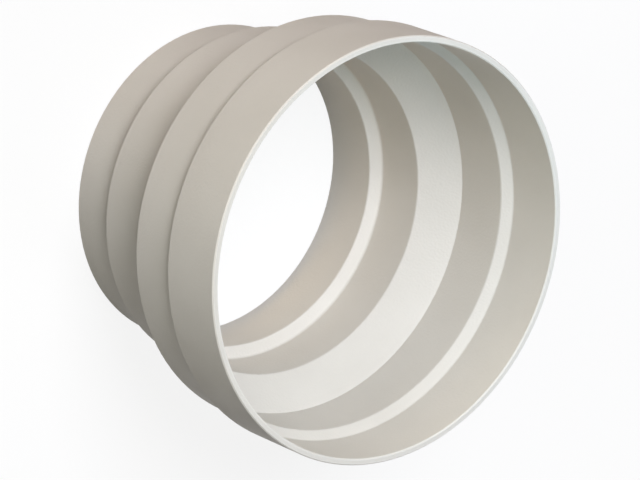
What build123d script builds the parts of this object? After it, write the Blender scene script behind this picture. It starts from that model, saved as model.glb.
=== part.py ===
from build123d import *
import os
from math import atan2, radians, tan

# Stepped duct reducer, moulded in one piece, for joining a wide ventilation duct to a narrower one.
# It stands on its small end with the large mouth up, and its axis is +Z. Sizes are in millimetres.

# Nominal diameters of the two ducts, and how far each band is off its duct, so that the two slide together
large_duct = 125.0
small_duct = 100.0
large_socket_clearance = 0.5
large_spigot_clearance = 0.4
small_socket_clearance = 1.6
small_spigot_clearance = 1.5

# Wall of every round band
wall = 2.0

# Heights of the bands and of the steps between them, along the inside, from the small end up
small_spigot_length = 18.9
small_step_height = 1.9
small_socket_length = 17.5
main_cone_height = 9.9
large_spigot_length = 18.7
large_step_height = 2.9
large_socket_length = 19.8

# Outside edges: slope of the shoulders from the axis, and height of an edge above the inside edge next to it
shoulder_slope = 60.0
shoulder_lead = 0.75
cone_lead = 0.5

# Broken edges and rounded corners of the moulding
rim_chamfer = 0.35
step_edge_chamfer = 0.25
cone_edge_radius = 0.8
inside_corner_radius = 1.0
shoulder_edge_radius = 0.6

# Radii of the bands, inside and outside
large_socket_inner = (large_duct + large_socket_clearance) / 2
large_socket_outer = large_socket_inner + wall
large_spigot_outer = (large_duct - large_spigot_clearance) / 2
large_spigot_inner = large_spigot_outer - wall
small_socket_inner = (small_duct + small_socket_clearance) / 2
small_socket_outer = small_socket_inner + wall
small_spigot_outer = (small_duct - small_spigot_clearance) / 2
small_spigot_inner = small_spigot_outer - wall

# Levels of the inside edges, from the small end at zero up to the mouth
small_step_foot = small_spigot_length
small_step_top = small_step_foot + small_step_height
cone_foot = small_step_top + small_socket_length
cone_top = cone_foot + main_cone_height
large_step_foot = cone_top + large_spigot_length
large_step_top = large_step_foot + large_step_height
mouth = large_step_top + large_socket_length


def shoulder_drop(outer_radius, inner_radius):
    """Height that a sloping outside shoulder loses from the wide band to the narrow one."""
    return (outer_radius - inner_radius) / tan(radians(shoulder_slope))


# Levels of the outside edges: the main cone's wall is whole at its foot and thins a little towards its top
large_shoulder_top = large_step_foot + shoulder_lead
large_shoulder_foot = large_shoulder_top - shoulder_drop(large_socket_outer, large_spigot_outer)
inner_cone_slope = atan2(large_spigot_inner - small_socket_inner, main_cone_height)
outer_cone_top = cone_top + cone_lead
outer_cone_foot = cone_foot - wall * tan(inner_cone_slope / 2)
small_shoulder_top = small_step_foot + shoulder_lead
small_shoulder_foot = small_shoulder_top - shoulder_drop(small_socket_outer, small_spigot_outer)


def wall_section():
    """Half section of the wall as a face, with radius along X and height along Y.

    A corner is a radius, a level, its finish and the size of that. A corner with no finish stays sharp.
    """
    corners = [
        # Inside, from the small end up to the mouth
        (small_spigot_inner, 0, chamfer, rim_chamfer),
        (small_spigot_inner, small_step_foot, chamfer, step_edge_chamfer),
        (small_socket_inner, small_step_top, fillet, inside_corner_radius),
        (small_socket_inner, cone_foot, fillet, cone_edge_radius),
        (large_spigot_inner, cone_top, None, None),
        (large_spigot_inner, large_step_foot, chamfer, step_edge_chamfer),
        (large_socket_inner, large_step_top, fillet, inside_corner_radius),
        (large_socket_inner, mouth, chamfer, rim_chamfer),
        # Outside, from the mouth down to the small end
        (large_socket_outer, mouth, chamfer, rim_chamfer),
        (large_socket_outer, large_shoulder_top, fillet, shoulder_edge_radius),
        (large_spigot_outer, large_shoulder_foot, None, None),
        (large_spigot_outer, outer_cone_top, fillet, shoulder_edge_radius),
        (small_socket_outer, outer_cone_foot, None, None),
        (small_socket_outer, small_shoulder_top, fillet, shoulder_edge_radius),
        (small_spigot_outer, small_shoulder_foot, None, None),
        (small_spigot_outer, 0, chamfer, rim_chamfer),
    ]
    outline = Polyline([(radius, level) for radius, level, finish, size in corners], close=True)
    section = make_face(outline)
    for radius, level, finish, size in corners:
        if finish:
            corner = section.vertices().sort_by_distance((radius, level, 0))[0]
            section = finish(corner, size)
    return section


reducer = revolve(Plane.XZ * wall_section(), Axis.Z)
reducer.label = "reducer"

os.makedirs("parts", exist_ok=True)
export_step(reducer, "parts/reducer.step")
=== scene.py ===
from math import radians

import bpy
from mathutils import Matrix, Vector


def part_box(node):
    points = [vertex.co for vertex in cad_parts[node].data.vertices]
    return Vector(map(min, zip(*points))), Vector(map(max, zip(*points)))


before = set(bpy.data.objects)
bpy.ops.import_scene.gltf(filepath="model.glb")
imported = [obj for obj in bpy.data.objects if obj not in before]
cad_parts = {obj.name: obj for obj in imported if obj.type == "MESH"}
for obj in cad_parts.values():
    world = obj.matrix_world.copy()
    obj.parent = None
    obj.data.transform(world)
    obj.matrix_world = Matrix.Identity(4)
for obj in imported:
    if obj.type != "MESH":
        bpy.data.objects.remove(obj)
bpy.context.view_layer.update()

# Camera: where the photograph shows the centre of the mouth, and how the duct axis lies in it
image_width = 640
image_height = 480
sensor_width = 36.0
focal_length_px = 4700.0
mouth_px = (391.51, 252.38)
mouth_distance = 1.3730
axis_tilt = radians(40.84)
axis_turn = radians(21.55)

# Plastic: pale warm grey with faint patches of tint and polish, a fine moulded grain and the lines of a
# turned mould. Sizes and depths are in metres.
plastic_dark = (0.670, 0.630, 0.575)
plastic_light = (0.710, 0.670, 0.615)
tint_patch = 0.028
satin_polished = 0.56
satin_dull = 0.68
polish_patch = 0.011
patch_detail = 3.0
patch_low = 0.3
patch_high = 0.7
specular_level = 0.3
grain_size = 0.0007
grain_depth = 0.00005
turning_pitch = 0.0011
turning_depth = 0.000004

# Painted highlight: outward edges are painted a little lighter, for the light that they catch.
# Of the directions into the plastic from a spot, the share that stays inside for the whole highlight
# width is below 1 only next to such an edge.
edge_highlight_colour = (0.77, 0.74, 0.695)
edge_highlight_width = 0.0005
edge_highlight_samples = 8
edge_highlight_none_share = 0.99
edge_highlight_full_share = 0.85

# Floor and backdrop
pure_white = (1.0, 1.0, 1.0)
floor_size = 20.0
floor_colour = (0.2, 0.2, 0.2)
shadow_colour = (0.98, 0.98, 0.98)
shadow_share = 0.15
ambient_strength = 0.02

# Wide lamps far away, each with the direction that it shines from
lamp_softness = radians(28)
lamps = {
    "key": {"direction": (-0.33, -0.45, 0.83), "strength": 2.40, "colour": (0.93, 0.93, 1.0)},
    "front": {"direction": (0.25, -0.96, 0.14), "strength": 0.55, "colour": (1.0, 0.98, 0.86)},
    "upper": {"direction": (-0.93, -0.35, 0.12), "strength": 0.45, "colour": (1.0, 0.66, 0.29)},
    "back": {"direction": (0.23, 0.94, 0.25), "strength": 1.50, "colour": (1.0, 1.0, 1.0)},
}

# Round lamps for the walls inside, two above the mouth and a faint one just above the floor within the
# small end. Places, the points that they shine at and widths are in metres.
near_lamps = {
    "near_front": {
        "place": (0.0, -0.25, 0.35),
        "aim": (0.0, 0.0, 0.06),
        "width": 0.15,
        "watts": 0.305,
        "colour": (0.93, 1.0, 0.86),
    },
    "near_top": {
        "place": (-0.04, 0.03, 0.20),
        "aim": (0.03, 0.0, 0.06),
        "width": 0.05,
        "watts": 0.051,
        "colour": (0.48, 0.78, 1.0),
    },
    "floor_glow": {
        "place": (0.010, 0.017, 0.002),
        "aim": (0.010, 0.017, 0.06),
        "width": 0.05,
        "watts": 0.0021,
        "colour": (1.0, 0.63, 0.14),
    },
}


def opaque(colour):
    """Colour with full alpha."""
    return (*colour, 1)


def new_material(name):
    """Material with its nodes and links."""
    material = bpy.data.materials.new(name)
    material.use_nodes = True
    return material, material.node_tree.nodes, material.node_tree.links


def add_camera():
    """Camera on the -Y side of the part, rolled so that the duct axis points right and a little down."""
    data = bpy.data.cameras.new("camera")
    data.sensor_width = sensor_width
    data.lens = focal_length_px / image_width * sensor_width
    camera = bpy.data.objects.new("camera", data)
    bpy.context.scene.collection.objects.link(camera)
    turn = Matrix.Rotation(axis_tilt, 4, "X") @ Matrix.Rotation(radians(90) + axis_turn, 4, "Z")
    metres_per_px = mouth_distance / focal_length_px
    mouth_from_camera = Vector((
        (mouth_px[0] - image_width / 2) * metres_per_px,
        (image_height / 2 - mouth_px[1]) * metres_per_px,
        -mouth_distance,
    ))
    mouth_centre = Vector((0, 0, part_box("reducer")[1].z))
    camera.matrix_world = Matrix.Translation(mouth_centre - turn.to_3x3() @ mouth_from_camera) @ turn
    bpy.context.scene.camera = camera


def seen_directly(nodes, links):
    """Socket that is 1 for rays from the camera, and for what shows in gloss or through glass."""
    path = nodes.new("ShaderNodeLightPath")
    seen = path.outputs["Is Camera Ray"]
    for ray in ("Is Glossy Ray", "Is Transmission Ray"):
        either = nodes.new("ShaderNodeMath")
        either.operation = "MAXIMUM"
        links.new(seen, either.inputs[0])
        links.new(path.outputs[ray], either.inputs[1])
        seen = either.outputs[0]
    return seen


def add_floor():
    """Wide pale floor that shows white where it is lit, and keeps the part's shadow."""
    bpy.ops.mesh.primitive_plane_add(size=floor_size)
    floor = bpy.context.object
    floor.name = "floor"
    material, nodes, links = new_material("floor")
    nodes.clear()
    grey = nodes.new("ShaderNodeBsdfDiffuse")
    grey.inputs["Color"].default_value = opaque(floor_colour)
    shadow = nodes.new("ShaderNodeBsdfDiffuse")
    shadow.inputs["Color"].default_value = opaque(shadow_colour)
    white = nodes.new("ShaderNodeEmission")
    seen = nodes.new("ShaderNodeMixShader")
    seen.inputs[0].default_value = shadow_share
    links.new(white.outputs[0], seen.inputs[1])
    links.new(shadow.outputs[0], seen.inputs[2])
    mix = nodes.new("ShaderNodeMixShader")
    links.new(seen_directly(nodes, links), mix.inputs[0])
    links.new(grey.outputs[0], mix.inputs[1])
    links.new(seen.outputs[0], mix.inputs[2])
    output = nodes.new("ShaderNodeOutputMaterial")
    links.new(mix.outputs[0], output.inputs["Surface"])
    floor.data.materials.append(material)


def add_world():
    """Faint even light all round, with a white backdrop above the floor."""
    world = bpy.data.worlds.new("world")
    bpy.context.scene.world = world
    world.use_nodes = True
    nodes = world.node_tree.nodes
    links = world.node_tree.links
    ambient = nodes["Background"]
    ambient.inputs["Color"].default_value = opaque(pure_white)
    ambient.inputs["Strength"].default_value = ambient_strength
    backdrop = nodes.new("ShaderNodeBackground")
    backdrop.inputs["Color"].default_value = opaque(pure_white)
    mix = nodes.new("ShaderNodeMixShader")
    links.new(seen_directly(nodes, links), mix.inputs[0])
    links.new(ambient.outputs[0], mix.inputs[1])
    links.new(backdrop.outputs[0], mix.inputs[2])
    links.new(mix.outputs[0], nodes["World Output"].inputs["Surface"])


def add_noise(nodes, links, place, feature, detail=0.0):
    """Socket of a noise whose features are about the given size, in metres."""
    noise = nodes.new("ShaderNodeTexNoise")
    noise.inputs["Scale"].default_value = 1 / feature
    noise.inputs["Detail"].default_value = detail
    links.new(place, noise.inputs["Vector"])
    return noise.outputs["Fac"]


def around_axis(nodes, links, place):
    """Socket of a place that only tells distance from the duct axis and height, the same all round."""
    split = nodes.new("ShaderNodeSeparateXYZ")
    links.new(place, split.inputs[0])
    flat = nodes.new("ShaderNodeCombineXYZ")
    links.new(split.outputs["X"], flat.inputs["X"])
    links.new(split.outputs["Y"], flat.inputs["Y"])
    radius = nodes.new("ShaderNodeVectorMath")
    radius.operation = "LENGTH"
    links.new(flat.outputs[0], radius.inputs[0])
    ring = nodes.new("ShaderNodeCombineXYZ")
    links.new(radius.outputs["Value"], ring.inputs["X"])
    links.new(split.outputs["Z"], ring.inputs["Z"])
    return ring.outputs[0]


def add_bump(nodes, links, height, depth, normal=None):
    """Socket of a normal raised by a height of 0 to 1 over the given depth, in metres."""
    bump = nodes.new("ShaderNodeBump")
    bump.inputs["Strength"].default_value = 1.0
    bump.inputs["Distance"].default_value = depth
    links.new(height, bump.inputs["Height"])
    if normal:
        links.new(normal, bump.inputs["Normal"])
    return bump.outputs[0]


def add_edge_highlight(nodes, links):
    """Socket that is 1 at the outward edges of the part, where a highlight is painted, and 0 on its
    faces.
    """
    inside = nodes.new("ShaderNodeAmbientOcclusion")
    inside.inside = True
    inside.only_local = True
    inside.samples = edge_highlight_samples
    inside.inputs["Distance"].default_value = edge_highlight_width
    edge_highlight_mask = nodes.new("ShaderNodeMapRange")
    edge_highlight_mask.inputs["From Min"].default_value = edge_highlight_none_share
    edge_highlight_mask.inputs["From Max"].default_value = edge_highlight_full_share
    links.new(inside.outputs["AO"], edge_highlight_mask.inputs["Value"])
    return edge_highlight_mask.outputs["Result"]


def add_plastic():
    """Satin moulded plastic on the CAD part."""
    material, nodes, links = new_material("plastic")
    shader = nodes["Principled BSDF"]
    shader.inputs["Specular IOR Level"].default_value = specular_level
    place = nodes.new("ShaderNodeTexCoord").outputs["Object"]

    tint = nodes.new("ShaderNodeValToRGB")
    dark, light = tint.color_ramp.elements
    dark.position = patch_low
    dark.color = opaque(plastic_dark)
    light.position = patch_high
    light.color = opaque(plastic_light)
    links.new(add_noise(nodes, links, place, tint_patch, patch_detail), tint.inputs["Fac"])
    # Painted highlight: a lighter colour is mixed in along the outward edges.
    edge_highlighted = nodes.new("ShaderNodeMixRGB")
    edge_highlighted.inputs["Color2"].default_value = opaque(edge_highlight_colour)
    links.new(add_edge_highlight(nodes, links), edge_highlighted.inputs["Fac"])
    links.new(tint.outputs["Color"], edge_highlighted.inputs["Color1"])
    links.new(edge_highlighted.outputs["Color"], shader.inputs["Base Color"])

    satin = nodes.new("ShaderNodeMapRange")
    satin.inputs["From Min"].default_value = patch_low
    satin.inputs["From Max"].default_value = patch_high
    satin.inputs["To Min"].default_value = satin_polished
    satin.inputs["To Max"].default_value = satin_dull
    links.new(add_noise(nodes, links, place, polish_patch, patch_detail), satin.inputs["Value"])
    links.new(satin.outputs["Result"], shader.inputs["Roughness"])

    turning = add_noise(nodes, links, around_axis(nodes, links, place), turning_pitch)
    grain = add_noise(nodes, links, place, grain_size)
    turned = add_bump(nodes, links, turning, turning_depth)
    links.new(add_bump(nodes, links, grain, grain_depth, turned), shader.inputs["Normal"])

    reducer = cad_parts["reducer"]
    reducer.data.materials.clear()
    reducer.data.materials.append(material)


def add_lamp(name, direction, strength, colour):
    """Wide soft lamp far away, which shines from the given direction."""
    data = bpy.data.lights.new(name, "SUN")
    data.energy = strength
    data.color = colour
    data.angle = lamp_softness
    lamp = bpy.data.objects.new(name, data)
    lamp.rotation_mode = "QUATERNION"
    lamp.rotation_quaternion = Vector(direction).to_track_quat("Z", "Y")
    bpy.context.scene.collection.objects.link(lamp)


def add_near_lamp(name, place, aim, width, watts, colour):
    """Round lamp that shines on the walls inside and that no view shows."""
    data = bpy.data.lights.new(name, "AREA")
    data.shape = "DISK"
    data.size = width
    data.energy = watts
    data.color = colour
    lamp = bpy.data.objects.new(name, data)
    lamp.location = place
    lamp.rotation_mode = "QUATERNION"
    lamp.rotation_quaternion = (Vector(place) - Vector(aim)).to_track_quat("Z", "Y")
    lamp.visible_camera = False
    bpy.context.scene.collection.objects.link(lamp)


add_camera()
add_floor()
add_world()
add_plastic()
for lamp_name, values in lamps.items():
    add_lamp(lamp_name, **values)
for lamp_name, values in near_lamps.items():
    add_near_lamp(lamp_name, **values)
bpy.context.scene.view_settings.view_transform = "Standard"
